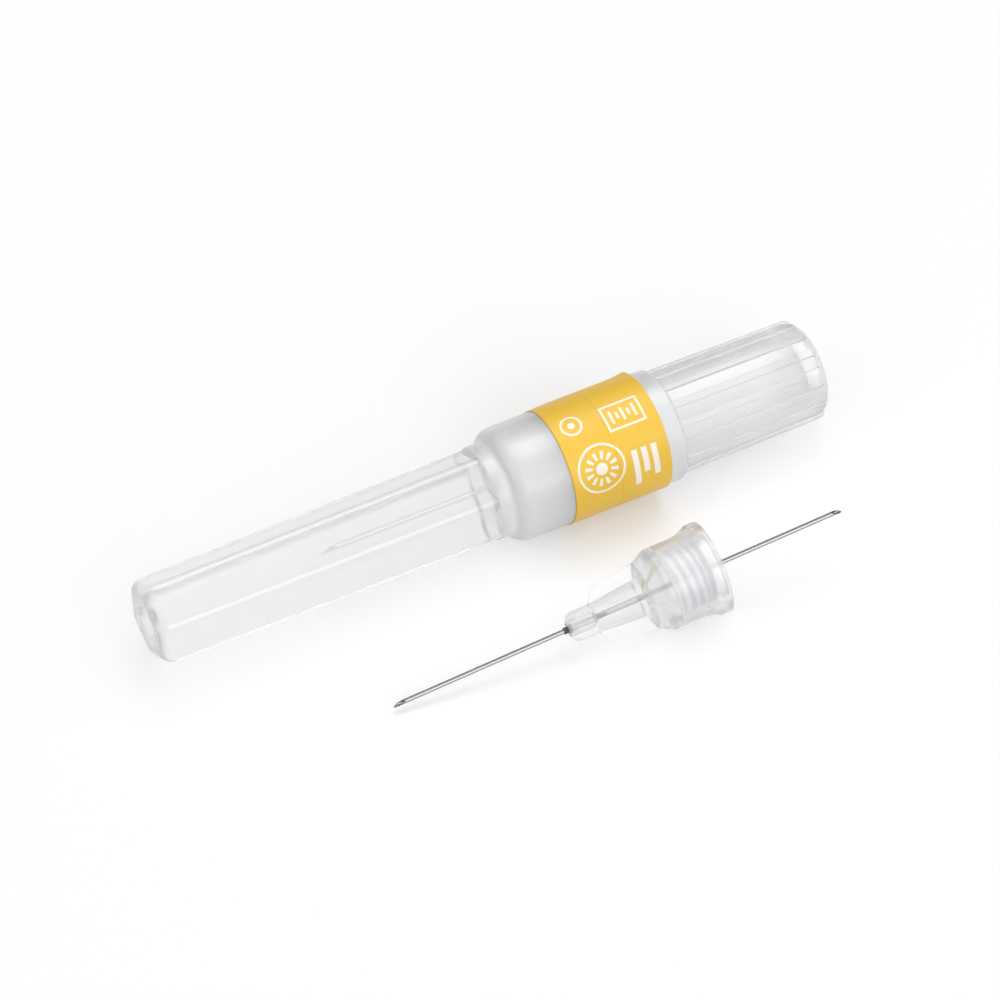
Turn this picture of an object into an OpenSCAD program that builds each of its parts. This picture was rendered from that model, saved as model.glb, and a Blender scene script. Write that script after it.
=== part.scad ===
// Dental injection needle set: a sealed two-part case with its needle inside, and a bare needle lying beside it.
// Millimetres. X runs along the case from the sheath's tip to the rear cap's end, Z is up, the table is at Z = 0.
// The case pieces are drawn along their own z from the tip. The needle pieces run forward from the hub's rear face.

/* [Case] */
// Length of the closed case, tip face to end face
case_len = 82.4; // [72:0.1:95]
// Radius of the collar and of the skirt that the seal is wrapped round
collar_r = 6.64; // [6.5:0.01:8]
// Tip face to the front of the collar
collar_from = 42.4; // [38:0.1:44]
// Tip face to the joint between the sheath and the rear cap
joint_at = 55.1; // [53:0.1:56]
// Width of the joint between the two mouldings
joint_gap = 0.1; // [0.05:0.05:0.3]

/* [Needle sheath] */
// Hexagon radius over its corners at the tip
hex_r_tip = 5.19; // [4.8:0.01:5.5]
// Hexagon radius over its corners where it meets the collar
hex_r_rear = 5.58; // [5.3:0.01:6]
// Share of the corner radius that is left by the softened corners
corner_soft = 0.97; // [0.9:0.01:1]
// Turn of the hexagon about the case axis, from a corner straight up
hex_roll = 6; // [-30:1:30]
// Rounding of the tip's outer edge
tip_round = 1.4; // [0.2:0.1:1.5]
// Radius of the blind recess in the tip face
tip_recess_r = 2.2; // [1:0.1:2.8]
// Depth of that recess
tip_recess_depth = 1.5; // [0.5:0.1:1.8]
// Thickness of the tip, from its face to the floor of the bore
tip_depth = 3; // [2.5:0.1:5]
// Radius of the sheath's hexagonal bore over its corners, at its floor
bore_r_tip = 4.25; // [3.9:0.05:4.4]
// Radius of the bore over its corners at the collar
bore_r_rear = 4.65; // [4.3:0.05:4.9]
// Length of the round neck in front of the collar
neck_len = 2.2; // [1:0.1:4]
// Radius of the neck
neck_r = 5.62; // [5.5:0.01:6.2]
// Height of the slope at the neck's front
neck_rise = 0.8; // [0.4:0.1:1]
// Rounding of the collar's front shoulder
shoulder_round = 2; // [0.3:0.1:2.2]
// Collar front to the front wall of the hub's cavity
cavity_inset = 2.7; // [0.8:0.1:3]
// Radius of the hub's cavity in the collar
cavity_r = 4.87; // [4.8:0.01:5.1]
// Outer radius of the spigot that carries the rear cap
spigot_r = 5.9; // [5.7:0.01:5.95]
// Length of the spigot behind the joint
spigot_len = 2.9; // [2:0.1:3.1]
// Length of the paired ribs in the cavity that hold the hub's fins
key_len = 4.2; // [3:0.1:5]
// Thickness of each of those ribs
key_w = 0.45; // [0.3:0.05:0.6]
// Free width between the two ribs of a pair
key_gap = 1.05; // [0.9:0.05:1.4]
// Radius at which the ribs end inside
key_in_r = 2.7; // [2.4:0.1:3]

/* [Rear cap] */
// Tip face to the rear of the bare ring
ring_to = 63.6; // [62:0.1:65]
// Radius of the bare ring
ring_r = 6.51; // [6.2:0.01:6.68]
// Rounding of the ring's rear edge
ring_round = 0.45; // [0.1:0.05:0.5]
// Radius over the ribs at the ring
rib_r_front = 6.13; // [5.9:0.01:6.25]
// Radius over the ribs at the end
rib_r_end = 5.9; // [5.7:0.01:6.1]
// Height of the grip ribs
rib_h = 0.25; // [0.1:0.05:0.35]
// Width of a grip rib
rib_w = 0.9; // [0.5:0.05:1.4]
// Number of grip ribs, an even number
rib_count = 16; // [8:2:24]
// Turn of the ribs about the case axis
rib_roll = 1; // [-10:1:10]
// Rounding of the cap's end edge
end_round = 1.8; // [0.3:0.1:1.9]
// Depth of the recess in the cap's end
end_recess_depth = 2.4; // [1:0.1:4]
// Radius of that recess
end_recess_r = 3.3; // [2.5:0.1:3.4]
// Thickness of the cap's end wall
end_wall = 1.5; // [0.8:0.1:2]
// Radial clearance of the skirt on the spigot
skirt_clear = 0.08; // [0.05:0.01:0.1]
// Radial clearance of the cap round the hub's rim
rim_clear = 0.25; // [0.1:0.05:0.3]
// Radius of the cap's cavity at the hub
cap_bore_r_front = 4.75; // [4.5:0.05:4.9]
// Radius of the cap's cavity at the end wall
cap_bore_r_end = 4.5; // [4.3:0.05:4.7]

/* [Seal] */
// Tip face to the front edge of the seal
seal_from = 49.3; // [46:0.1:51]
// Tip face to the rear edge of the seal
seal_to = 61.3; // [58:0.1:62]
// Thickness of the seal
seal_t = 0.08; // [0.05:0.01:0.1]

/* [Hub] */
// Thickness of the rear rim
rim_t = 1.3; // [0.8:0.1:2]
// Radius of the rear rim
rim_r = 5.35; // [5.1:0.01:5.4]
// Rounding of the rim's rear edge
rim_round = 0.25; // [0.1:0.05:0.4]
// Length of the flare between the rim and the body
flare_len = 2.1; // [1:0.1:2.4]
// Radius of the hub's body
body_r = 4.72; // [4.5:0.01:4.74]
// Length of the hub's body
body_len = 3.3; // [3:0.1:5]
// Length of the cone in front of the body
cone_len = 1.7; // [1:0.1:2.5]
// Radius of the cone's front
shoulder_r = 3.8; // [3.4:0.05:4.1]
// Length of the step from the cone's front down to the core
step_len = 0.4; // [0.2:0.1:0.8]
// Radius of the core at that step
core_r = 2.2; // [2:0.05:2.4]
// Length of the fins' outer edge
fin_len = 5.3; // [4:0.1:6]
// Radius of the fins at the cone
fin_r_rear = 4; // [3.4:0.05:4.1]
// Radius of the fins at their front
fin_r_front = 3.2; // [2.8:0.05:3.5]
// Length of the fins' sloped front
fin_slope = 0.9; // [0.4:0.1:1.5]
// Thickness of a fin
fin_t = 0.55; // [0.4:0.05:0.7]
// Turn of the fins about the needle's axis, from one straight up
fin_roll = -37; // [-45:1:45]
// Radius of the nose
nose_r = 1.7; // [1.4:0.05:1.9]
// Length of the nose in front of the fins
nose_len = 3.2; // [2:0.1:5]
// Rounding of the nose's front edge
nose_round = 1.2; // [0.1:0.05:1.3]
// Radius of the socket over its thread crests
socket_r = 2.6; // [2.4:0.05:2.8]
// Radius of the plain entry of the socket
entry_r = 3.1; // [3:0.05:3.4]
// Depth of the plain entry
entry_len = 0.8; // [0.5:0.1:2.5]
// Depth of the socket down to the end of its thread
socket_depth = 5.6; // [5:0.1:7]
// Length of the cone at the socket's bottom
socket_cone = 3; // [1:0.1:3.2]
// Radius of the passage for the cannula
passage_r = 0.285; // [0.22:0.005:0.35]
// Radius of the well for the adhesive
well_r = 0.75; // [0.5:0.05:1]
// Depth of that well
well_depth = 3; // [1.5:0.1:4]

/* [Cannula] */
// Outer radius of the steel tube
tube_r = 0.255; // [0.15:0.005:0.26]
// Radius of its lumen
lumen_r = 0.13; // [0.06:0.005:0.14]
// Length in front of the nose
tube_ahead = 21; // [10:0.5:35]
// Length behind the hub's rear face, for the cartridge
tube_behind = 15.7; // [10:0.1:16]
// Length of the bevel at the front
bevel_front = 1.7; // [0.6:0.1:2.5]
// Length of the bevel at the rear
bevel_rear = 1.3; // [0.6:0.1:2.5]
// Outer radius of the dark ring at the nose
mark_r = 0.38; // [0.3:0.01:0.45]
// Length of the ring
mark_len = 1.1; // [0.6:0.05:2]
// How far the ring stands out of the nose
mark_out = 0.45; // [0.1:0.05:0.8]
// How far the adhesive stops below the nose's front
glue_inset = 0.15; // [0.05:0.05:0.4]

/* [Layout] */
// Tip face to the rear face of the hub in the case
hub_at = 60; // [59.8:0.05:60.1]
// Tip face to the rear face of the bare needle's hub
loose_x = 59.4; // [40:0.1:80]
// Distance of the bare needle's hub from the case axis
loose_y = 19.9; // [14:0.1:40]
// Turn of the bare needle on the table
loose_yaw = -2.4; // [-30:0.1:30]

/* [Hidden] */
$fn = 96;
eps = 0.01;
far = 40;
hub_play = 0.3;
grip_root = 1;
hub_len = rim_t + flare_len + body_len + cone_len + fin_len + fin_slope + nose_len;
cone_from = rim_t + flare_len + body_len;
fins_from = cone_from + cone_len;
nose_from = hub_len - nose_len;
tip_z = hub_len + tube_ahead;
cavity_from = collar_from + cavity_inset;
axis_h = collar_r + seal_t;
skirt_r = spigot_r + skirt_clear;
rim_bore_r = rim_r + rim_clear;
rim_bore_to = hub_at + hub_play;
spigot_to = joint_at + spigot_len;
end_wall_to = case_len - end_recess_depth;
loose_pitch = atan((rim_r - body_r) / (cone_from - rim_t));
loose_z = rim_t * sin(loose_pitch) + rim_r * cos(loose_pitch);
loose_side = cos(loose_pitch) * sin(loose_yaw);
loose_reach = rim_r * sqrt(1 - loose_side * loose_side);
case_x = -case_len / 2;
case_y = (loose_y + loose_reach - axis_h) / 2;

// Places a piece of the case, drawn along z from the tip
module in_case() {
    translate([case_x, case_y, axis_h])
        rotate([0, 90, 0])
            children();
}

// Places the needle in the case, drawn forward along z from the hub's rear face
module in_needle() {
    translate([case_x + hub_at, case_y, axis_h])
        rotate([0, -90, 0])
            children();
}

// Places the bare needle, resting on its rim and on the front edge of its body
module in_loose() {
    translate([case_x + loose_x, case_y - loose_y, loose_z])
        rotate([0, -90 - loose_pitch, loose_yaw])
            children();
}

// Profile of a solid round bar, radius along x and length along y
module bar(r, from, to) {
    translate([0, from])
        square([r, to - from]);
}

// What a rounding takes off a profile's outer corner, at its low end (way -1) or its high end (way 1)
module corner_cut(r, z, f, way) {
    translate([r - f, z - way * f])
        difference() {
            translate([0, way > 0 ? 0 : -f - eps])
                square([f + eps, f + eps]);
            circle(f);
        }
}

// Tapered hexagon with softened corners, between two places along the case
module hex_taper(r_from, r_to, from, to) {
    lean = atan((r_to - r_from) * cos(30) / (to - from));
    difference() {
        rotate_extrude()
            polygon([
                [0, from],
                [r_from * corner_soft, from],
                [r_to * corner_soft, to],
                [0, to]
            ]);
        for (i = [0 : 5])
            rotate([0, 0, 30 + 60 * i - hex_roll])
                translate([r_from * cos(30), 0, from])
                    rotate([0, lean, 0])
                        translate([0, -far / 2, -far / 4])
                            cube([far / 4, far, 2 * far]);
    }
}

// Slanted cuts along the flats that round the tip's edge
module tip_cuts() {
    flat = hex_r_tip * cos(30) - tip_round;
    for (i = [0 : 5], slant = [30, 60])
        rotate([0, 0, 30 + 60 * i - hex_roll])
            translate([flat + tip_round * cos(slant), 0, tip_round * (1 - sin(slant))])
                rotate([0, slant, 0])
                    translate([0, -far / 2, -far / 2])
                        cube([far / 4, far, far]);
}

// Hexagonal sheath, rounded at the tip
module hex_body() {
    difference() {
        hex_taper(hex_r_tip, hex_r_rear, 0, collar_from + eps);
        tip_cuts();
    }
}

// Round neck, collar and spigot
module collar_body() {
    rotate_extrude() {
        polygon([
            [0, collar_from - neck_len],
            [neck_r - neck_rise, collar_from - neck_len],
            [neck_r, collar_from - neck_len + neck_rise],
            [neck_r, collar_from + shoulder_round / 2],
            [0, collar_from + shoulder_round / 2]
        ]);
        difference() {
            bar(collar_r, collar_from, joint_at - joint_gap / 2);
            corner_cut(collar_r, collar_from, shoulder_round, -1);
        }
        bar(spigot_r, joint_at - shoulder_round, spigot_to);
    }
}

// Hexagonal bore of the sheath and round cavity of its collar, chamfered at the spigot's mouth
module sheath_hollow() {
    mouth = 0.7;
    hex_taper(bore_r_tip, bore_r_rear, tip_depth, cavity_from + eps);
    rotate_extrude()
        polygon([
            [0, cavity_from],
            [cavity_r, cavity_from],
            [cavity_r, spigot_to - mouth],
            [cavity_r + mouth + eps, spigot_to + eps],
            [0, spigot_to + eps]
        ]);
}

// Paired ribs in the collar: each pair takes one fin of the hub between its ribs
module fin_keys() {
    root = 0.3;
    reach = cavity_r + root - key_in_r;
    for (i = [0 : 3], side = [-1, 1])
        rotate([0, 0, 90 * i - fin_roll])
            translate([key_in_r, side * (key_gap + key_w) / 2 - key_w / 2, cavity_from - root])
                cube([reach, key_w, key_len + root]);
}

// Front cover: hexagonal sheath, collar and spigot in one moulding
module needle_sheath() {
    color([0.9, 0.91, 0.93, 0.6])
        in_case()
            union() {
                difference() {
                    union() {
                        hex_body();
                        collar_body();
                    }
                    sheath_hollow();
                    translate([0, 0, -eps])
                        cylinder(r = tip_recess_r, h = tip_recess_depth + eps);
                }
                fin_keys();
            }
}

// Turned shape of the grip, drawn in by the given depth, with its end edge rounded
module grip_round(depth) {
    rotate_extrude()
        difference() {
            polygon([
                [0, ring_to - grip_root],
                [rib_r_front - depth, ring_to - grip_root],
                [rib_r_end - depth, case_len],
                [0, case_len]
            ]);
            corner_cut(rib_r_end - depth, case_len, end_round, 1);
        }
}

// Bars that the ribs are cut from, each standing well into the grip's wall
module rib_bars() {
    depth = rib_h + 0.5;
    for (i = [0 : rib_count - 1])
        rotate([0, 0, rib_roll + 360 / rib_count * i])
            translate([rib_r_end - depth, -rib_w / 2, ring_to - grip_root / 2])
                cube([2 * depth, rib_w, case_len - ring_to - end_round + grip_root / 2]);
}

// Ribbed grip of the rear cap
module grip_body() {
    grip_round(rib_h);
    intersection() {
        grip_round(0);
        rib_bars();
    }
}

// Skirt under the seal, and the bare ring behind it
module skirt_body() {
    rotate_extrude()
        difference() {
            union() {
                bar(collar_r, joint_at + joint_gap / 2, seal_to);
                bar(ring_r, seal_to, ring_to);
            }
            corner_cut(ring_r, ring_to, ring_round, 1);
        }
}

// Steps inside the rear cap: over the spigot, round the hub's rim, and along the cannula
module cap_hollow() {
    rotate_extrude()
        polygon([
            [0, joint_at - 1],
            [skirt_r, joint_at - 1],
            [skirt_r, spigot_to + skirt_clear],
            [rim_bore_r, spigot_to + skirt_clear],
            [rim_bore_r, rim_bore_to],
            [cap_bore_r_front, rim_bore_to],
            [cap_bore_r_end, end_wall_to - end_wall],
            [0, end_wall_to - end_wall]
        ]);
}

// Rear cover: skirt, ring and ribbed grip in one moulding
module rear_cap() {
    color([0.9, 0.91, 0.93, 0.6])
        in_case()
            difference() {
                union() {
                    skirt_body();
                    grip_body();
                }
                cap_hollow();
                translate([0, 0, end_wall_to])
                    cylinder(r = end_recess_r, h = end_recess_depth + 1);
            }
}

// A length of the seal
module seal_band(from, to) {
    rotate_extrude()
        translate([collar_r, from])
            square([seal_t, to - from]);
}

// Half of the seal that stays on the sheath
module seal_front() {
    color([0.95, 0.72, 0.15])
        in_case()
            seal_band(seal_from, joint_at - joint_gap / 2);
}

// Half of the seal that stays on the rear cap
module seal_rear() {
    color([0.95, 0.72, 0.15])
        in_case()
            seal_band(joint_at + joint_gap / 2, seal_to);
}

// Turned outside of the hub: rim, hollow flare, body, cone, core and nose
module hub_round() {
    flare_drop = rim_r - body_r;
    flare_arc = (flare_drop * flare_drop + flare_len * flare_len) / (2 * flare_drop);
    rotate_extrude()
        difference() {
            union() {
                bar(rim_r, 0, rim_t);
                bar(rim_r, rim_t, rim_t + flare_len);
                bar(body_r, 0, cone_from);
                polygon([
                    [0, cone_from],
                    [body_r, cone_from],
                    [shoulder_r, fins_from],
                    [core_r, fins_from + step_len],
                    [nose_r, nose_from],
                    [nose_r, hub_len],
                    [0, hub_len]
                ]);
            }
            translate([body_r + flare_arc, rim_t + flare_len])
                circle(flare_arc, $fn = 192);
            corner_cut(rim_r, 0, rim_round, -1);
            corner_cut(nose_r, hub_len, nose_round, 1);
        }
}

// Two crossed plates that make the four fins, rooted in the cone and in the nose
module hub_fins() {
    root = 0.6;
    front = fins_from + fin_len;
    slope = fin_slope / (fin_r_front - nose_r);
    for (turn = [0, 90])
        rotate([90, 0, fin_roll + turn])
            linear_extrude(height = fin_t, center = true)
                polygon([
                    [-fin_r_rear, fins_from - root],
                    [fin_r_rear, fins_from - root],
                    [fin_r_front, front],
                    [nose_r - root, front + slope * (fin_r_front - nose_r + root)],
                    [root - nose_r, front + slope * (fin_r_front - nose_r + root)],
                    [-fin_r_front, front]
                ]);
}

// Socket for the syringe, passage for the cannula and well for the adhesive
module hub_hollow() {
    mouth = 0.3;
    rotate_extrude()
        polygon([
            [0, -eps],
            [entry_r + mouth + eps, -eps],
            [entry_r, mouth],
            [entry_r, entry_len],
            [socket_r, entry_len + entry_r - socket_r],
            [socket_r, socket_depth],
            [passage_r, socket_depth + socket_cone],
            [passage_r, hub_len - well_depth - well_r + passage_r],
            [well_r, hub_len - well_depth],
            [well_r, hub_len + eps],
            [0, hub_len + eps]
        ]);
}

// Clear hub with its fins and its socket
module needle_hub() {
    difference() {
        union() {
            hub_round();
            hub_fins();
        }
        hub_hollow();
    }
}

// Cuts a slanted point on the tube, at the end z and facing up
module bevel_cut(z, length, way) {
    slope = atan(length / (2 * tube_r));
    translate([-tube_r, 0, z])
        mirror([0, 0, way > 0 ? 0 : 1])
            rotate([0, slope, 0])
                translate([-tube_r, -1, 0])
                    cube([2 * length + 1, 2, 2]);
}

// Steel tube with a point at both ends
module needle_tube() {
    difference() {
        translate([0, 0, -tube_behind])
            cylinder(r = tube_r, h = tip_z + tube_behind, $fn = 48);
        translate([0, 0, -tube_behind - 1])
            cylinder(r = lumen_r, h = tip_z + tube_behind + 2, $fn = 48);
        bevel_cut(tip_z, bevel_front, 1);
        bevel_cut(-tube_behind, bevel_rear, -1);
    }
}

// Dark ring on the tube at the nose
module needle_mark() {
    rotate_extrude()
        translate([tube_r, hub_len + mark_out - mark_len])
            square([mark_r - tube_r, mark_len]);
}

// Adhesive in the nose's well, round the tube and the ring
module needle_glue() {
    rotate_extrude()
        polygon([
            [passage_r, hub_len - well_depth - well_r + passage_r],
            [well_r, hub_len - well_depth],
            [well_r, hub_len - glue_inset / 2],
            [mark_r, hub_len - glue_inset],
            [mark_r, hub_len + mark_out - mark_len],
            [tube_r, hub_len + mark_out - mark_len],
            [tube_r, hub_len - well_depth - well_r + passage_r]
        ]);
}

module hub() {
    color([0.93, 0.94, 0.95, 0.5])
        in_needle()
            needle_hub();
}

module cannula() {
    color([0.62, 0.63, 0.65])
        in_needle()
            needle_tube();
}

module mark_ring() {
    color([0.1, 0.1, 0.1])
        in_needle()
            needle_mark();
}

module hub_adhesive() {
    color([0.9, 0.78, 0.6, 0.7])
        in_needle()
            needle_glue();
}

module loose_hub() {
    color([0.93, 0.94, 0.95, 0.5])
        in_loose()
            needle_hub();
}

module loose_cannula() {
    color([0.62, 0.63, 0.65])
        in_loose()
            needle_tube();
}

module loose_mark_ring() {
    color([0.1, 0.1, 0.1])
        in_loose()
            needle_mark();
}

module loose_adhesive() {
    color([0.9, 0.78, 0.6, 0.7])
        in_loose()
            needle_glue();
}

needle_sheath();
rear_cap();
seal_front();
seal_rear();
hub();
cannula();
mark_ring();
hub_adhesive();
loose_hub();
loose_cannula();
loose_mark_ring();
loose_adhesive();
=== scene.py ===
"""Looks of the dental needle set: a sealed clear case with a needle inside, and a bare needle beside it."""
from math import asin, atan, atan2, cos, hypot, pi, radians, sin, sqrt, tan

import bmesh
import bpy
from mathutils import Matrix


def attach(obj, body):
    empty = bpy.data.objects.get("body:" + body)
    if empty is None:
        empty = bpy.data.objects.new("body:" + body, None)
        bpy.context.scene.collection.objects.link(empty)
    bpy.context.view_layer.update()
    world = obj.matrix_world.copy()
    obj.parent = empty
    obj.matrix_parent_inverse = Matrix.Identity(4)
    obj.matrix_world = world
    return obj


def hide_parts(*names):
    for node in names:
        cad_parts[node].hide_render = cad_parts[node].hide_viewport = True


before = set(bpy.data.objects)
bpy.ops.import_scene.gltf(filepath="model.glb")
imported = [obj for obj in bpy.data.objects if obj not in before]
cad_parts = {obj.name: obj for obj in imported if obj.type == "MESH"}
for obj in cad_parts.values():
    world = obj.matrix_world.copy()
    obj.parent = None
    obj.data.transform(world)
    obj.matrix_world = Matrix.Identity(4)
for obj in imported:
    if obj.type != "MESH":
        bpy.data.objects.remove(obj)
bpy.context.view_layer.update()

# Sizes in millimetres and degrees, with r for a radius and t for a thickness.
# They are those of the solids, but for a slimmer neck, and the thread and the gap round its sleeve are added.

# Sheath
case_len = 82.4
collar_r = 6.64
collar_from = 42.4
shoulder_round = 2
joint_at = 55.1
joint_gap = 0.1
hex_r_tip = 5.19
hex_r_rear = 5.58
hex_roll = 6
hex_edge = 0.56
tip_round = 1.4
tip_recess_r = 2.2
tip_recess_depth = 1.5
tip_depth = 3
bore_r_tip = 4.25
bore_r_rear = 4.65
neck_r = 5.48
neck_rise = 0.8
neck_from = 40.2
cavity_from = 45.1
cavity_r = 4.87
spigot_r = 5.9
spigot_to = 58
key_len = 4.2
key_w = 0.45
key_gap = 1.05
key_in_r = 2.7

# Rear cap
ring_r = 6.51
ring_to = 63.6
ring_round = 0.45
rib_r_front = 6.13
rib_r_end = 5.9
rib_h = 0.25
rib_w = 0.9
rib_count = 16
rib_roll = 1
end_round = 1.8
end_recess_depth = 2.4
end_recess_r = 3.3
end_wall = 1.5
skirt_r = 5.98
rim_bore_r = 5.6
rim_bore_to = 60.3
cap_bore_r_front = 4.75
cap_bore_r_end = 4.5

# Seal
seal_from = 49.3
seal_to = 61.3
seal_t = 0.08

# Hub
rim_t = 1.3
rim_r = 5.35
flare_len = 2.1
body_r = 4.72
body_len = 3.3
cone_len = 1.7
shoulder_r = 3.8
step_len = 0.4
core_r = 2.2
fin_len = 5.3
fin_r_rear = 4
fin_r_front = 3.2
fin_slope = 0.9
fin_t = 0.55
fin_roll = -37
nose_r = 1.7
nose_len = 3.2
nose_round = 1.2
entry_r = 3.1
entry_len = 0.8
socket_r = 2.6
socket_depth = 5.6
socket_cone = 3
thread_pitch = 1.05
thread_depth = 0.38
well_r = 0.75
well_depth = 3
sleeve_r = 3.6
shell_r = 4.15
sleeve_len = 5.9

# Tube and its mark
tube_r = 0.255
lumen_r = 0.13
tube_ahead = 21
tube_behind = 15.7
bevel_front = 1.7
bevel_rear = 1.3
mark_r = 0.38
mark_len = 1.1
mark_out = 0.45

# Where the needles lie, counted from the case's tip and axis
hub_at = 60
loose_x = 59.4
loose_y = 19.9
loose_yaw = -2.4

cone_from = rim_t + flare_len + body_len
fins_from = cone_from + cone_len
hub_len = fins_from + fin_len + fin_slope + nose_len
tip_z = hub_len + tube_ahead
axis_h = collar_r + seal_t
loose_pitch = atan((rim_r - body_r) / (cone_from - rim_t))
loose_z = rim_t * sin(loose_pitch) + rim_r * cos(loose_pitch)
loose_side = cos(loose_pitch) * sin(radians(loose_yaw))
case_x = -case_len / 2
case_y = (loose_y + rim_r * sqrt(1 - loose_side ** 2) - axis_h) / 2

# Place and turn of what is drawn along z
in_case = (case_x, case_y, axis_h), (0, radians(90), 0)
in_needle = (case_x + hub_at, case_y, axis_h), (0, radians(-90), 0)
in_loose = (case_x + loose_x, case_y - loose_y, loose_z), (0, radians(-90) - loose_pitch, radians(loose_yaw))


# Bench work

def let_go():
    """Leaves edit mode and deselects everything."""
    if bpy.context.mode != "OBJECT":
        bpy.ops.object.mode_set(mode="OBJECT")
    bpy.ops.object.select_all(action="DESELECT")


def hold(piece):
    """Selects one piece alone."""
    let_go()
    piece.select_set(True)
    bpy.context.view_layer.objects.active = piece


def fixed():
    """Writes the held piece's place, turn and scale into its mesh."""
    bpy.ops.object.transform_apply(location=True, rotation=True, scale=True)


def pick_edges(piece, test):
    """In edit mode, selects the edges that pass a test."""
    bpy.ops.mesh.select_mode(type="EDGE")
    bpy.ops.mesh.select_all(action="DESELECT")
    mesh = bmesh.from_edit_mesh(piece.data)
    for edge in mesh.edges:
        if test(edge):
            edge.select_set(True)
    mesh.select_flush_mode()
    bmesh.update_edit_mesh(piece.data)


def eased(corners, loop=False, steps=5):
    """Outline through corners of (radius, height) or (radius, height, rounding), rounded by arcs."""
    line = []
    for i, corner in enumerate(corners):
        x, z = corner[:2]
        ease = corner[2] if len(corner) > 2 else 0
        if not ease or (not loop and i in (0, len(corners) - 1)):
            line.append((x, z))
            continue
        ax, az = corners[i - 1][:2]
        bx, bz = corners[(i + 1) % len(corners)][:2]
        al, bl = hypot(ax - x, az - z), hypot(bx - x, bz - z)
        ax, az, bx, bz = (ax - x) / al, (az - z) / al, (bx - x) / bl, (bz - z) / bl
        half = atan2(abs(ax * bz - az * bx), ax * bx + az * bz) / 2
        ease = min(ease, 0.98 * min(al, bl) * tan(half))
        mx, mz = ax + bx, az + bz
        reach = ease / sin(half) / hypot(mx, mz)
        cx, cz = x + mx * reach, z + mz * reach
        run = ease / tan(half)
        sx, sz = x + ax * run - cx, z + az * run - cz
        sweep = pi - 2 * half
        way = 1 if sx * (z + bz * run - cz) - sz * (x + bx * run - cx) > 0 else -1
        for k in range(steps + 1):
            turn = way * sweep * k / steps
            line.append((cx + sx * cos(turn) - sz * sin(turn), cz + sx * sin(turn) + sz * cos(turn)))
    return line


def drawn(name, points, loop=False):
    """A string of vertices, extruded from point to point and left in edit mode."""
    let_go()
    bpy.ops.mesh.primitive_plane_add(size=1)
    piece = bpy.context.object
    piece.name = piece.data.name = name
    bpy.ops.object.mode_set(mode="EDIT")
    bpy.ops.mesh.select_mode(type="VERT")
    bpy.ops.mesh.select_all(action="SELECT")
    bpy.ops.mesh.merge(type="CENTER")
    bpy.ops.transform.translate(value=points[0])
    for a, b in zip(points, points[1:] + points[:1] * loop):
        bpy.ops.mesh.extrude_region_move(TRANSFORM_OT_translate={"value": [q - p for p, q in zip(a, b)]})
    bpy.ops.mesh.select_all(action="SELECT")
    if loop:
        bpy.ops.mesh.remove_doubles(threshold=1e-4)
        bpy.ops.mesh.select_all(action="SELECT")
    return piece


def tidied():
    """In edit mode, merges doubles and turns all faces outward."""
    bpy.ops.mesh.select_all(action="SELECT")
    bpy.ops.mesh.remove_doubles(threshold=2e-4)
    bpy.ops.mesh.normals_make_consistent(inside=False)


def turned(name, outline, loop=False, steps=96):
    """A solid spun about z from an outline of (radius, height)."""
    piece = drawn(name, [(x, 0, z) for x, z in outline], loop)
    bpy.ops.mesh.spin(steps=steps, angle=2 * pi, center=(0, 0, 0), axis=(0, 0, 1))
    tidied()
    let_go()
    return piece


def plate(name, outline, thickness, ease=0.0):
    """A flat plate in the x-z plane, centred on y, with its edges eased."""
    piece = drawn(name, [(x, -thickness / 2, z) for x, z in outline], True)
    bpy.ops.mesh.edge_face_add()
    bpy.ops.mesh.extrude_region_move(TRANSFORM_OT_translate={"value": (0, thickness, 0)})
    tidied()
    if ease:
        pick_edges(piece, lambda e: e.calc_face_angle(0) > radians(40))
        bpy.ops.mesh.bevel(offset=ease, segments=3, affect="EDGES")
    let_go()
    return piece


def rolled(piece, turn):
    """Turns a piece about z."""
    hold(piece)
    piece.rotation_euler = (0, 0, radians(turn))
    fixed()


def copied(piece):
    """A copy with its own mesh."""
    hold(piece)
    bpy.ops.object.duplicate(linked=False)
    return bpy.context.object


def gathered(pieces):
    """Several pieces as one."""
    hold(pieces[0])
    for piece in pieces[1:]:
        piece.select_set(True)
    bpy.ops.object.join()
    return pieces[0]


def worked(piece, tool, way):
    """Joins a tool to a piece (UNION) or cuts it away (DIFFERENCE), and clears the tool off."""
    hold(piece)
    bpy.ops.object.modifier_add(type="BOOLEAN")
    step = piece.modifiers[-1]
    step.operation = way
    step.object = tool
    step.solver = "EXACT"
    bpy.ops.object.modifier_apply(modifier=step.name)
    bpy.data.objects.remove(tool)
    bpy.ops.object.mode_set(mode="EDIT")
    tidied()
    let_go()


def laid(piece, place, name, body, node, finish, second=None):
    """Puts a piece in place in metres, smooths it, gives it its finish and hangs it under its body.

    A second finish comes with a test of a face's centre and normal, in the piece's own millimetres.
    """
    hold(piece)
    faces = piece.data.polygons
    chosen = [face.index for face in faces if second and second[1](face.center, face.normal)]
    piece.name = piece.data.name = name
    spot, turn = place
    piece.scale = (0.001,) * 3
    piece.rotation_euler = turn
    piece.location = [v / 1000 for v in spot]
    fixed()
    bpy.ops.object.shade_smooth_by_angle(angle=radians(35))
    bpy.ops.object.modifier_add(type="WEIGHTED_NORMAL")
    piece.modifiers[-1].keep_sharp = True
    bpy.ops.object.modifier_apply(modifier=piece.modifiers[-1].name)
    piece.data.materials.clear()
    piece.data.materials.append(finish)
    if second:
        piece.data.materials.append(second[0])
    for index in chosen:
        piece.data.polygons[index].material_index = 1
    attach(piece, body)
    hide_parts(node)


# Finishes

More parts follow.
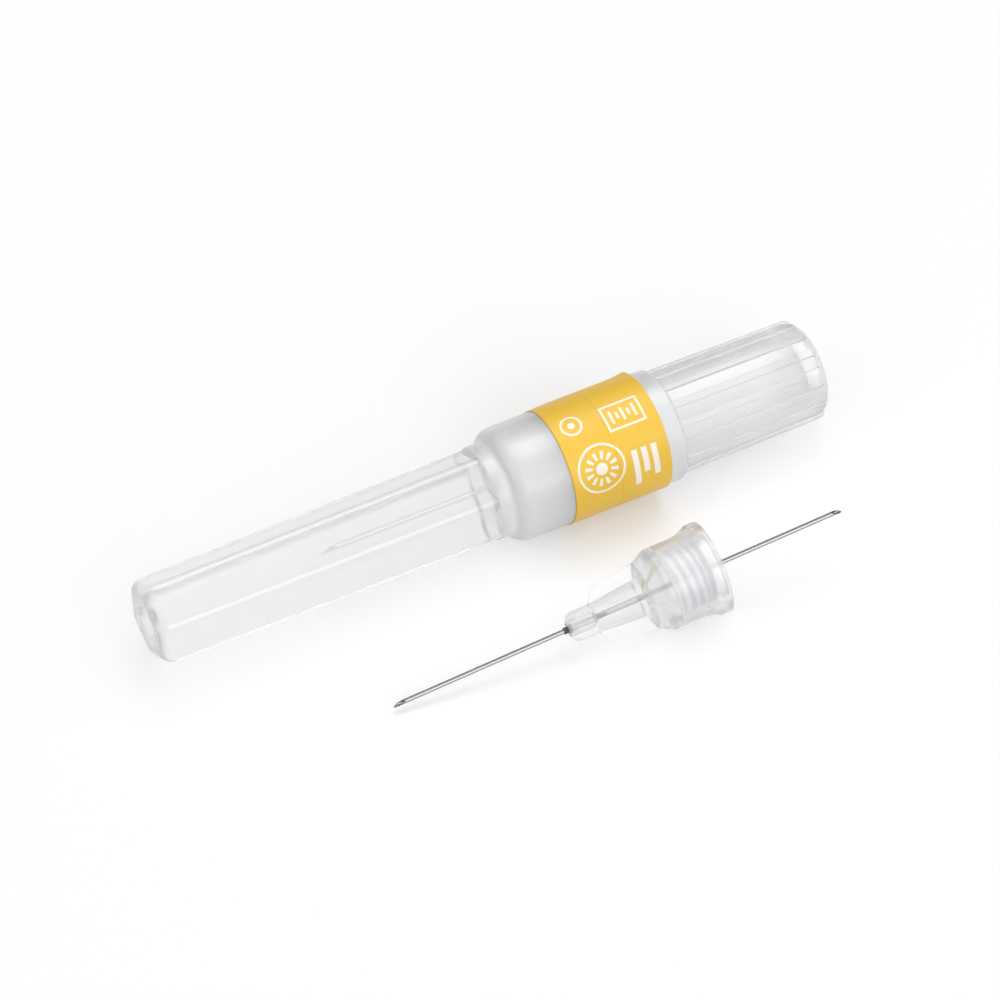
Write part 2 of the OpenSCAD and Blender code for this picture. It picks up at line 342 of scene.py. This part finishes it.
class Wire:
    """A socket's value: sums, products and the like of it add Math nodes."""

    def __init__(self, finish, socket):
        self.finish, self.socket = finish, socket

    def math(self, way, *others):
        return self.finish.node("ShaderNodeMath", {"operation": way}, self, *others)

    def __add__(self, other):
        return self.math("ADD", other)

    def __mul__(self, other):
        return self.math("MULTIPLY", other)

    def __sub__(self, other):
        return self.math("SUBTRACT", other)

    def __rsub__(self, other):
        return self.finish.node("ShaderNodeMath", {"operation": "SUBTRACT"}, other, self)

    __radd__, __rmul__ = __add__, __mul__

    def __abs__(self):
        return self.math("ABSOLUTE")

    def most(self, other):
        return self.math("MAXIMUM", other)

    def below(self, limit, soft):
        """1 where the value is under the limit, 0 above it, with a soft edge."""
        settings = {"interpolation_type": "SMOOTHSTEP"}
        return self.finish.node("ShaderNodeMapRange", settings, self, limit - soft, limit + soft, 1.0, 0.0)


class Finish:
    """A node tree under construction, of a material or of the world."""

    def __init__(self, holder):
        holder.use_nodes = True
        self.holder, self.tree = holder, holder.node_tree
        self.tree.nodes.clear()

    def feed(self, socket, value):
        """Links a wire to a socket, or sets the socket's value."""
        if isinstance(value, Wire):
            self.tree.links.new(value.socket, socket)
        else:
            socket.default_value = value

    def node(self, kind, settings, *values, out=0, **named):
        """Adds a node: its settings first, then its sockets' values or links by order or by name."""
        node = self.tree.nodes.new(kind)
        for key, value in settings.items():
            if key == "stops":
                while len(node.color_ramp.elements) < len(value):
                    node.color_ramp.elements.new(0.5)
                for stop, (place, colour) in zip(node.color_ramp.elements, value):
                    stop.position, stop.color = place, colour
            else:
                setattr(node, key, value)
        for socket, value in zip([s for s in node.inputs if s.enabled], values):
            self.feed(socket, value)
        for name, value in named.items():
            self.feed(node.inputs[name.replace("_", " ")], value)
        outs = [s for s in node.outputs if s.enabled]
        return Wire(self, outs[out] if isinstance(out, int) else node.outputs[out])

    def place(self):
        """Object coordinates as three values in millimetres."""
        spot = self.node("ShaderNodeTexCoord", {}, out="Object")
        return [self.node("ShaderNodeSeparateXYZ", {}, spot, out=k) * 1000 for k in range(3)]

    def noise(self, size, detail=2.0, rough=0.5, stretch=None):
        """Noise with features of about the given size in millimetres."""
        spot = self.node("ShaderNodeTexCoord", {}, out="Object")
        if stretch:
            spot = self.node("ShaderNodeVectorMath", {"operation": "MULTIPLY"}, spot, stretch)
        return self.node("ShaderNodeTexNoise", {}, spot, Scale=1000 / size, Detail=detail, Roughness=rough)

    def mix(self, share, a, b):
        """Colour between a and b."""
        node = self.tree.nodes.new("ShaderNodeMix")
        node.data_type = "RGBA"
        for socket, value in zip((node.inputs[0], node.inputs[6], node.inputs[7]), (share, a, b)):
            self.feed(socket, value)
        return Wire(self, node.outputs[2])

    def bump(self, height, depth):
        """Relief of the given depth in millimetres."""
        return self.node("ShaderNodeBump", {}, Strength=1.0, Distance=depth / 1000, Height=height)

    def rays(self, kind):
        """1 for rays of one kind, such as Camera or Shadow."""
        return self.node("ShaderNodeLightPath", {}, out=f"Is {kind} Ray")

    def surface(self, wire):
        """What the output shows."""
        of_material = isinstance(self.holder, bpy.types.Material)
        end = self.tree.nodes.new("ShaderNodeOutputMaterial" if of_material else "ShaderNodeOutputWorld")
        self.tree.links.new(wire.socket, end.inputs[0])


def new_finish(name):
    return Finish(bpy.data.materials.new(name))


def clear_plastic(name, tints, clear, frost, grain, shade, gloss=0.0, bend=1.49, painted_crest_shade=False):
    """Moulded see-through plastic, milky as far as it isn't clear.

    Frost is the least roughness and its spread, grain the size and depth of the fine relief. Lamps shine
    through it onto what is behind, dimmed by shade. Ridged plastic takes its tints from hollow to crest,
    by the mesh's crest height: painted shade in the hollows and a painted highlight on the crests.
    """
    f = new_finish(name)
    cloud = f.noise(2.5, 3.0)
    fine = f.noise(grain[0], 2.0)
    blend = f.node("ShaderNodeAttribute", {"attribute_name": "crest"}, out="Fac") if painted_crest_shade else cloud
    body = f.node("ShaderNodeBsdfPrincipled", {}, Base_Color=f.mix(blend, *tints), IOR=bend,
                  Roughness=frost[0] + frost[1] * cloud, Transmission_Weight=clear,
                  Coat_Weight=gloss, Coat_Roughness=0.1, Normal=f.bump(fine, grain[1]))
    through = f.node("ShaderNodeBsdfTransparent", {}, shade)
    f.surface(f.node("ShaderNodeMixShader", {}, f.rays("Shadow"), body, through))
    return f.holder


case_plastic = clear_plastic(
    "frosted_case_plastic", ((0.885, 0.887, 0.893, 1), (0.855, 0.858, 0.866, 1)), clear=0.68,
    frost=(0.13, 0.06), grain=(0.35, 0.004), shade=(0.8, 0.803, 0.81, 1), gloss=0.5)
milky_plastic = clear_plastic(
    "milky_case_plastic", ((0.9, 0.902, 0.907, 1), (0.86, 0.863, 0.87, 1)), clear=0.48,
    frost=(0.27, 0.1), grain=(0.35, 0.004), shade=(0.88, 0.883, 0.89, 1), gloss=0.3)
grip_plastic = clear_plastic(
    "frosted_grip_plastic", ((0.92, 0.922, 0.927, 1), (0.89, 0.893, 0.9, 1)), clear=0.64,
    frost=(0.16, 0.06), grain=(0.35, 0.004), shade=(0.82, 0.823, 0.83, 1))
hub_plastic = clear_plastic(
    "clear_hub_plastic", ((0.915, 0.919, 0.928, 1), (0.895, 0.899, 0.91, 1)), clear=0.8,
    frost=(0.23, 0.06), grain=(0.5, 0.002), shade=(0.88, 0.88, 0.882, 1), gloss=0.1, bend=1.27)
# The thread's tints go from grey in its hollows to white on its crests: painted shade and painted highlight.
thread_plastic = clear_plastic(
    "milky_thread_painted_shade", ((0.5, 0.5, 0.505, 1), (1, 1, 1, 1)), clear=0.2,
    frost=(0.2, 0.06), grain=(0.5, 0.002), shade=(0.93, 0.93, 0.932, 1), gloss=0.1, bend=1.27, painted_crest_shade=True)
amber_adhesive = clear_plastic(
    "amber_adhesive", ((0.995, 0.98, 0.955, 1), (0.99, 0.965, 0.935, 1)), clear=0.95,
    frost=(0.04, 0.03), grain=(0.6, 0.002), shade=(0.96, 0.92, 0.86, 1))


def seal_back():
    """White back of the seal, which shows through the case."""
    f = new_finish("white_seal_back")
    fibre = f.noise(0.6, 4.0, 0.6)
    white = f.mix(fibre, (0.8, 0.79, 0.77, 1), (0.9, 0.89, 0.87, 1))
    f.surface(f.node("ShaderNodeBsdfPrincipled", {}, Base_Color=white, Roughness=0.55 + 0.15 * fibre,
                     Normal=f.bump(fibre, 0.02)))
    return f.holder


def seal_print(along, arc):
    """White print as a mask: a rosette, a small ring with a dot, three bars and a frame with ticks."""
    rosette_at, rosette_up = 53.0, 3.9
    dot_at, dot_up = 51.6, 9.7
    bars_at, bars_up, bar_step = 57.1, 4.6, 1.2
    frame_at, frame_up, frame_line = 57.6, 8.9, 0.5
    tick_at, tick_step = 56.2, 0.7

    def ring(a, b, r, w):
        reach = (along - a) * (along - a) + (arc - b) * (arc - b)
        return abs(reach.math("SQRT") - r).below(w / 2, 0.05)

    def bar(a, b, la, lb):
        return (abs(along - a) - la / 2).most(abs(arc - b) - lb / 2).below(0, 0.05)

    turn = (arc - rosette_up).math("ARCTAN2", along - rosette_at) * (12 / (2 * pi))
    rays = abs(turn.math("FRACT") - 0.5).below(0.22, 0.04) * ring(rosette_at, rosette_up, 1.55, 0.9)
    marks = [ring(rosette_at, rosette_up, 2.75, 0.26), ring(rosette_at, rosette_up, 0.35, 0.7), rays,
             ring(dot_at, dot_up, 1.15, 0.24), ring(dot_at, dot_up, 0.2, 0.4)]
    for k, length in enumerate((4.4, 3.0, 3.8)):
        marks.append(bar(bars_at + bar_step * k, bars_up - length / 2, 0.7, length))
    hollow = bar(frame_at, frame_up, 4.6 - frame_line, 3.2 - frame_line)
    marks.append(bar(frame_at, frame_up, 4.6, 3.2) - hollow)
    for k, length in enumerate((1.6, 0.8, 1.6, 0.8, 1.6)):
        marks.append(bar(tick_at + tick_step * k, frame_up, 0.3, length))
    mask = marks[0]
    for mark in marks[1:]:
        mask = mask.most(mark)
    return mask


def seal_paper():
    """Yellow label paper with a plain white print, laid out by length along the case and by arc round it."""
    f = new_finish("printed_seal_paper")
    x, y, z = f.place()
    along = x - case_x
    arc = (z - axis_h).math("ARCTAN2", case_y - y) * (collar_r + seal_t)
    mask = seal_print(along, arc)
    fibre = f.noise(0.6, 4.0, 0.6)
    patch = f.noise(5.0, 2.0)
    yellow = f.mix(patch, (0.83, 0.5, 0.03, 1), (0.89, 0.56, 0.05, 1))
    worn = f.mix(fibre * 0.25, yellow, (0.92, 0.64, 0.14, 1))
    printed = f.mix(mask * (0.8 + 0.2 * fibre), worn, (0.93, 0.92, 0.88, 1))
    # Painted shadow: a dark brown line along the seal's front edge. A fainter dark line runs over the joint.
    painted_front_edge_shadow = (along - seal_from).below(0.1, 0.05) * 0.55
    joint_line = abs(along - joint_at).below(0.05, 0.05) * 0.2
    colour = f.mix(painted_front_edge_shadow.most(joint_line), printed, (0.3, 0.18, 0.03, 1))
    crease = f.noise(1.6, 3.0, 0.6, (0.35, 1.0, 1.0))
    f.surface(f.node("ShaderNodeBsdfPrincipled", {}, Base_Color=colour, IOR=1.45,
                     Roughness=0.42 + 0.14 * fibre, Coat_Weight=0.15, Coat_Roughness=0.25,
                     Normal=f.bump(crease + 0.3 * fibre, 0.03)))
    return f.holder


def drawn_steel(name, dark, pale, rough):
    """Drawn stainless tube with faint lines along its length."""
    f = new_finish(name)
    lines = f.noise(0.05, 2.0, 0.5, (0.02, 1.0, 1.0))
    grey = f.mix(lines, (dark, dark, dark + 0.012, 1), (pale, pale, pale + 0.01, 1))
    # The dark specular tint darkens the tube towards its edges: a painted dark reflection.
    f.surface(f.node("ShaderNodeBsdfPrincipled", {}, Base_Color=grey, Metallic=1.0,
                     Specular_Tint=(0.05, 0.05, 0.05, 1), Roughness=rough + 0.05 * lines,
                     Normal=f.bump(lines, 0.001)))
    return f.holder


def dark_band():
    """Dark matt band, slightly worn."""
    f = new_finish("dark_band")
    worn = f.noise(0.12, 3.0, 0.6)
    black = f.mix(worn, (0.012, 0.012, 0.012, 1), (0.12, 0.12, 0.115, 1))
    f.surface(f.node("ShaderNodeBsdfPrincipled", {}, Base_Color=black, Roughness=0.45 + 0.2 * worn,
                     Normal=f.bump(worn, 0.02)))
    return f.holder


seal_finish = seal_paper()
back_finish = seal_back()
band_finish = dark_band()
# One steel as a shaded and a lit copy: the bare tube's is painted darker, and the cased tube's is painted
# much paler to make up for the light it loses inside the case.
steel_finish = drawn_steel("drawn_steel", 0.36, 0.46, 0.05)
cased_steel_painted_lighter = drawn_steel("cased_drawn_steel_painted_lighter", 0.7, 0.8, 0.32)


# The case

def hexagon(name, corner, ease, lip, start, stop, corner_stop):
    """A tapered hexagonal bar with eased corners, its first edge rounded along the flats."""
    bends = [radians(15 * k) for k in range(7)]
    rings = [(start + lip * (1 - cos(t)), corner - lip * (1 - sin(t)) / cos(pi / 6)) for t in bends]
    rings.append((stop, corner_stop))
    let_go()
    bpy.ops.mesh.primitive_circle_add(vertices=6, radius=corner, fill_type="NGON", location=(0, 0, start))
    piece = bpy.context.object
    piece.name = piece.data.name = name
    fixed()
    bpy.ops.object.mode_set(mode="EDIT")
    bpy.ops.mesh.select_all(action="SELECT")
    bpy.ops.mesh.bevel(offset=ease, segments=6, affect="VERTICES")
    bpy.ops.mesh.select_all(action="SELECT")
    bpy.ops.transform.resize(value=(rings[0][1] / corner,) * 2 + (1,), center_override=(0, 0, start))
    for (low, narrow), (high, wide) in zip(rings, rings[1:]):
        bpy.ops.mesh.extrude_region_move(TRANSFORM_OT_translate={"value": (0, 0, high - low)})
        bpy.ops.transform.resize(value=(wide / narrow, wide / narrow, 1), center_override=(0, 0, high))
    tidied()
    let_go()
    rolled(piece, -30 - hex_roll)
    return piece


def collar_outline():
    """Outline of neck, round shoulder, collar and spigot."""
    first = asin((neck_r - collar_r + shoulder_round) / shoulder_round)
    bends = [first + (pi / 2 - first) * k / 8 for k in range(9)]
    shoulder = [(collar_r - shoulder_round * (1 - sin(t)), collar_from + shoulder_round * (1 - cos(t)))
                for t in bends]
    collar_to = joint_at - joint_gap / 2
    neck = [(0, neck_from), (neck_r - neck_rise, neck_from), (neck_r, neck_from + neck_rise, 0.3)]
    rear = [(collar_r, collar_to, 0.05), (spigot_r, collar_to, 0.1), (spigot_r, spigot_to, 0.2),
            (0, spigot_to)]
    return eased(neck + [(*shoulder[0], 0.8)] + shoulder[2:] + rear)


def fin_keys():
    """Pairs of ribs in the collar, which hold the hub's four fins between them."""
    sink, slant, lead = 0.25, 0.2, 0.3
    start, stop = cavity_from - sink, cavity_from + key_len
    outline = [(key_in_r, start), (cavity_r + sink, start), (cavity_r + sink, stop), (key_in_r + slant, stop),
               (key_in_r, stop - lead)]
    keys = []
    for i in range(4):
        for side in (-1, 1):
            key = plate("key", outline, key_w, 0.06)
            hold(key)
            key.location = (0, side * (key_gap + key_w) / 2, 0)
            fixed()
            rolled(key, 90 * i - fin_roll)
            keys.append(key)
    return gathered(keys)


def sheath():
    """Hexagonal sheath with its collar and spigot, hollowed out, and the ribs that hold the hub's fins."""
    over, chamfer, lead_depth, lead_r = 0.1, 0.25, 0.7, 0.8
    piece = hexagon("sheath", hex_r_tip, hex_edge, tip_round, 0, collar_from + 0.6, hex_r_rear)
    worked(piece, turned("collar", collar_outline()), "UNION")
    bore = hexagon("bore", bore_r_tip, hex_edge * 0.8, 0.7, tip_depth, cavity_from + 0.5, bore_r_rear)
    worked(piece, bore, "DIFFERENCE")
    cavity = eased([(0, cavity_from), (cavity_r, cavity_from, 0.4), (cavity_r, spigot_to - lead_depth),
                    (cavity_r + lead_r, spigot_to + over), (0, spigot_to + over)])
    worked(piece, turned("cavity", cavity), "DIFFERENCE")
    mouth_r = tip_recess_r + chamfer
    recess = eased([(0, -1), (mouth_r, -1), (mouth_r, 0), (tip_recess_r, chamfer),
                    (tip_recess_r, tip_recess_depth, 0.35), (0, tip_recess_depth)])
    worked(piece, turned("recess", recess), "DIFFERENCE")
    worked(piece, fin_keys(), "UNION")
    return piece


def cap():
    """Rear cap: skirt, ring and ribbed grip, hollow from the front and recessed at its end."""
    recess_at = case_len - end_recess_depth
    inner_end = recess_at - end_wall
    step_at = spigot_to + 0.08
    skirt_from = joint_at + joint_gap / 2
    core = rib_r_front - rib_h, rib_r_end - rib_h
    piece = turned("cap", eased([
        (0, inner_end), (cap_bore_r_end, inner_end, 0.4), (cap_bore_r_front, rim_bore_to, 0.1),
        (rim_bore_r, rim_bore_to, 0.1), (rim_bore_r, step_at, 0.05), (skirt_r, step_at, 0.1),
        (skirt_r, skirt_from, 0.08), (collar_r, skirt_from, 0.05), (collar_r, seal_to, 0.05),
        (ring_r, seal_to, 0.05), (ring_r, ring_to, ring_round), (core[0], ring_to, 0.15),
        (core[1], case_len, end_round), (end_recess_r, case_len, 0.15), (end_recess_r, recess_at, 0.3),
        (0, recess_at)]))
    root_r, rib_from = core[1] - 0.5, ring_to - 0.3
    rib_outline = eased([(root_r, rib_from), (rib_r_front, rib_from), (rib_r_end, case_len - 0.6, 1.0),
                         (root_r, case_len - 0.9)], True)
    ribs = []
    for i in range(rib_count):
        rib = plate("rib", rib_outline, rib_w)
        hold(rib)
        bpy.ops.object.mode_set(mode="EDIT")
        pick_edges(rib, lambda e: e.calc_face_angle(0) > radians(60)
                   and min(v.co.x for v in e.verts) > core[1] - 0.3)
        bpy.ops.mesh.bevel(offset=0.16, segments=3, affect="EDGES")
        let_go()
        rolled(rib, rib_roll + 360 / rib_count * i)
        ribs.append(rib)
    worked(piece, gathered(ribs), "UNION")
    return piece


def seal(start, stop):
    """Half of the paper seal, a thin closed band a little loose on top, its rear edge lifted at one place."""
    rows = 12
    slack, slack_run = 0.05, 2
    lift_h, lift_run, lift_turn, lift_spread = 0.2, 2.2, radians(52), 0.12
    outer = [(collar_r + seal_t, start + (stop - start) * k / rows) for k in range(rows + 1)]
    inner = [(collar_r + 0.004, z) for _, z in reversed(outer)]
    piece = turned("seal", outer + inner, True, 144)
    for v in piece.data.vertices:
        r = hypot(v.co.x, v.co.y)
        loose = slack * (1 - v.co.x / r) * min(1, (v.co.z - seal_from) / slack_run)
        aside = atan2(v.co.y, -v.co.x) - lift_turn
        lift = lift_h * max(0, (v.co.z - seal_to) / lift_run + 1) ** 2 * max(0, 1 - aside ** 2 / lift_spread)
        v.co.x *= 1 + (loose + lift) / r
        v.co.y *= 1 + (loose + lift) / r
    return piece


# The needle

thread_from = entry_len + entry_r - socket_r


def hub_outline():
    """Outline of the hub's outside, from the nose to the rim, with the flare as an arc."""
    bend = ((rim_r - body_r) ** 2 + flare_len ** 2) / 2 / (rim_r - body_r)
    flare = [(body_r + bend - sqrt(bend ** 2 - (flare_len * k / 8) ** 2), rim_t + flare_len * (1 - k / 8))
             for k in range(8)]
    front = [(0, hub_len), (nose_r, hub_len, nose_round), (nose_r, hub_len - nose_len, 1.0),
             (core_r, fins_from + step_len, 0.25), (shoulder_r, fins_from, 0.15), (body_r, cone_from, 0.15)]
    return eased(front + flare + [(rim_r, rim_t, 0.08), (rim_r, 0, 0.25), (0, 0)], steps=6)


def fin_outline():
    """Outline of two opposite fins as one plate, which runs through the hub's core."""
    root = 0.6
    rear = fins_from - root
    front = fins_from + fin_len
    slope = fin_slope / (fin_r_front - nose_r)
    tip = front + slope * (fin_r_front - nose_r + root)
    return eased([(-fin_r_rear, rear), (fin_r_rear, rear), (fin_r_front, front, 0.3), (nose_r - root, tip),
                  (root - nose_r, tip), (-fin_r_front, front, 0.3)], True, 4)


def socket_tool():
    """What is cut out of the hub: the threaded socket, the tube's passage and the adhesive's well."""
    rows, chamfer, over = 96, 0.25, 1
    run_in, run_out, steep, flat = 0.4, 0.3, 1.5, 0.2
    passage = tube_r - 0.006
    mouth_r = entry_r + chamfer
    inside = [(0, -over), (mouth_r, -over), (mouth_r, 0), (entry_r, chamfer), (entry_r, entry_len)]
    inside += [(socket_r, thread_from + (socket_depth - thread_from) * k / rows) for k in range(rows + 1)]
    inside += [(passage, socket_depth + socket_cone), (passage, hub_len - well_depth - well_r + passage),
               (well_r, hub_len - well_depth), (well_r, hub_len + over), (0, hub_len + over)]
    tool = turned("socket", inside)
    for v in tool.data.vertices:
        r, z = hypot(v.co.x, v.co.y), v.co.z
        if abs(r - socket_r) < 1e-3 and thread_from < z < socket_depth:
            phase = (z / thread_pitch - atan2(v.co.y, v.co.x) / (2 * pi)) % 1
            ridge = min(1, max(0, steep * (1 - abs(2 * phase - 1)) - flat))
            fade = min(1, (z - thread_from) / run_in, (socket_depth - z) / run_out)
            grow = 1 + thread_depth * ridge * fade / r
            v.co.x *= grow
            v.co.y *= grow
    return tool


def hub():
    """Clear hub with four fins, a threaded socket, and a narrow gap round the threaded sleeve."""
    piece = turned("hub", hub_outline())
    for turn in (0, 90):
        fin = plate("fin", fin_outline(), fin_t, 0.07)
        rolled(fin, fin_roll + turn)
        worked(piece, fin, "UNION")
    worked(piece, socket_tool(), "DIFFERENCE")
    gap = eased([(sleeve_r, -1), (shell_r, -1), (shell_r, sleeve_len, 0.26), (sleeve_r, sleeve_len, 0.26)],
                True)
    worked(piece, turned("gap", gap, True), "DIFFERENCE")
    # Height of the thread from hollow to crest, which sets the thread's painted shade and highlight.
    crest = piece.data.attributes.new("crest", "FLOAT", "POINT")
    for v in piece.data.vertices:
        if thread_from < v.co.z < socket_depth:
            height = (hypot(v.co.x, v.co.y) - socket_r) / thread_depth
            crest.data[v.index].value = min(1, max(0, height))
    return piece


def cannula():
    """Steel tube with a slanted point at each end."""
    rear, front = -tube_behind, tip_z
    piece = turned("tube", [(lumen_r, rear), (tube_r, rear), (tube_r, front), (lumen_r, front)], True, 32)
    for v in piece.data.vertices:
        share = (v.co.x + tube_r) / (2 * tube_r)
        if abs(v.co.z - front) < 1e-3:
            v.co.z -= share * bevel_front
        elif abs(v.co.z - rear) < 1e-3:
            v.co.z += share * bevel_rear
    return piece


def mark():
    """Dark band on the tube, with its edges eased."""
    stop = hub_len + mark_out
    start = stop - mark_len
    inner = tube_r - 0.005
    outline = eased([(inner, start), (mark_r, start, 0.05), (mark_r, stop, 0.05), (inner, stop)], True)
    return turned("mark", outline, True, 48)


def adhesive():
    """Adhesive in the nose's well, sunk a little round the tube."""
    inner, outer, well_from = tube_r - 0.01, well_r + 0.01, hub_len - well_depth
    outline = eased([(inner, well_from - well_r + 0.25), (outer, well_from), (outer, hub_len - 0.08),
                     (0.5, hub_len - 0.16, 0.2), (inner, hub_len - 0.1)], True)
    return turned("adhesive", outline, True, 64)


# Tests for faces with a second finish

def on_collar(spot, lean):
    return spot.z > neck_from + neck_rise or (spot.z > neck_from - 0.1 and lean.z < -0.3)


def on_skirt(spot, lean):
    from_end_wall = abs(case_len - end_recess_depth - end_wall / 2 - spot.z)
    return spot.z < ring_to or (abs(lean.z) > 0.5 and from_end_wall < end_wall)


def inward(spot, lean):
    return spot.x * lean.x + spot.y * lean.y < -0.5


def on_thread(spot, lean):
    in_sleeve = entry_len < spot.z < socket_depth and hypot(spot.x, spot.y) < sleeve_r - 0.1
    return in_sleeve and inward(spot, lean)


# The set

milky_collar, milky_skirt = (milky_plastic, on_collar), (milky_plastic, on_skirt)
laid(sheath(), in_case, "sheath_moulding", "sheath", "needle_sheath", case_plastic,
     milky_collar)
laid(cap(), in_case, "cap_moulding", "rear_cap", "rear_cap", grip_plastic, milky_skirt)
seal_halves = (seal_from, joint_at, "front", "sheath"), (joint_at, seal_to, "rear", "rear_cap")
for start, stop, end, body in seal_halves:
    laid(seal(start, stop), in_case, "seal_paper_" + end, body, "seal_" + end, seal_finish,
         (back_finish, inward))


def both(piece, name, nodes, finishes, second=None):
    """Lays one piece in the needle in the case and a copy of it in the bare needle."""
    twin = copied(piece)
    laid(piece, in_needle, name, "needle", nodes[0], finishes[0], second)
    laid(twin, in_loose, "loose_" + name, "loose_needle", nodes[1], finishes[1], second)


both(hub(), "hub_moulding", ("hub", "loose_hub"), (hub_plastic,) * 2,
     (thread_plastic, on_thread))
both(cannula(), "steel_tube", ("cannula", "loose_cannula"), (cased_steel_painted_lighter, steel_finish))
both(mark(), "dark_ring", ("mark_ring", "loose_mark_ring"), (band_finish,) * 2)
both(adhesive(), "nose_adhesive", ("hub_adhesive", "loose_adhesive"), (amber_adhesive,) * 2)


# Stage, in metres

def pale_floor():
    """Floor that keeps the shadows and is lifted to white for what is seen directly, mirrored or through."""
    f = new_finish("pale_floor")
    seen = f.rays("Camera").most(f.rays("Glossy")).most(f.rays("Transmission"))
    lift = f.node("ShaderNodeEmission", {}, (1, 1, 1, 1), seen * 0.28)
    grey = f.node("ShaderNodeBsdfDiffuse", {}, (0.68, 0.68, 0.683, 1))
    f.surface(f.node("ShaderNodeAddShader", {}, grey, lift))
    let_go()
    bpy.ops.mesh.primitive_plane_add(size=8)
    floor = bpy.context.object
    floor.name = "floor"
    floor.data.materials.append(f.holder)


def surround():
    """Light from all round, paler above and in front, white where the camera sees it."""
    w = Finish(bpy.context.scene.world or bpy.data.worlds.new("surround"))
    bpy.context.scene.world = w.holder
    spot = w.node("ShaderNodeTexCoord", {}, out="Generated")
    ahead, up = [w.node("ShaderNodeSeparateXYZ", {}, spot, out=k) for k in (1, 2)]
    stops = [(0.0, (0.1, 0.1, 0.102, 1)), (0.33, (0.15, 0.15, 0.153, 1)), (0.6, (0.78, 0.78, 0.78, 1)),
             (1.0, (0.94, 0.94, 0.94, 1))]
    sky = w.node("ShaderNodeValToRGB", {"stops": stops}, up - 0.4 * ahead)
    w.surface(w.node("ShaderNodeBackground", {}, w.mix(w.rays("Camera"), sky, (1, 1, 1, 1)), 1.0))


def soft_lamp(name, spot, size, power):
    """Square lamp that faces the origin."""
    let_go()
    bpy.ops.object.light_add(type="AREA", location=spot)
    lamp = bpy.context.object
    lamp.name = name
    lamp.data.size = size
    lamp.data.energy = power
    lamp.rotation_euler = (atan2(hypot(spot[0], spot[1]), spot[2]), 0, atan2(spot[1], spot[0]) + pi / 2)
    return lamp


def lamps():
    """Soft light from above and behind, kept off the bare tube, and from the left and the front."""
    top = soft_lamp("soft_top", (0.3, 0.45, 1.3), 0.8, 5.6)
    soft_lamp("soft_left", (-0.8, -0.1, 0.5), 0.5, 0.5)
    soft_lamp("soft_front", (0.05, -0.78, 0.52), 0.5, 1.9)
    flag = bpy.data.collections.new("flagged_from_top_light")
    flag.objects.link(bpy.data.objects["loose_steel_tube"])
    top.light_linking.receiver_collection = flag
    flag.collection_objects[0].light_linking.link_state = "EXCLUDE"


def camera():
    """Camera turned about its aim, with a long lens for a square picture."""
    turn, rise, far = radians(-27.1), radians(49.5), 0.7
    aim_x, aim_y = 0.0038, 0.01265
    sensor, focal_pixels, picture_pixels = 36, 6255, 1000
    spot = aim_x + far * sin(turn) * cos(rise), aim_y - far * cos(turn) * cos(rise), far * sin(rise)
    let_go()
    bpy.ops.object.camera_add(location=spot, rotation=(pi / 2 - rise, 0, turn))
    eye = bpy.context.object
    eye.data.lens = focal_pixels * sensor / picture_pixels
    eye.data.sensor_width = sensor
    bpy.context.scene.camera = eye


pale_floor()
surround()
lamps()
camera()
bpy.context.scene.view_settings.view_transform = "Standard"
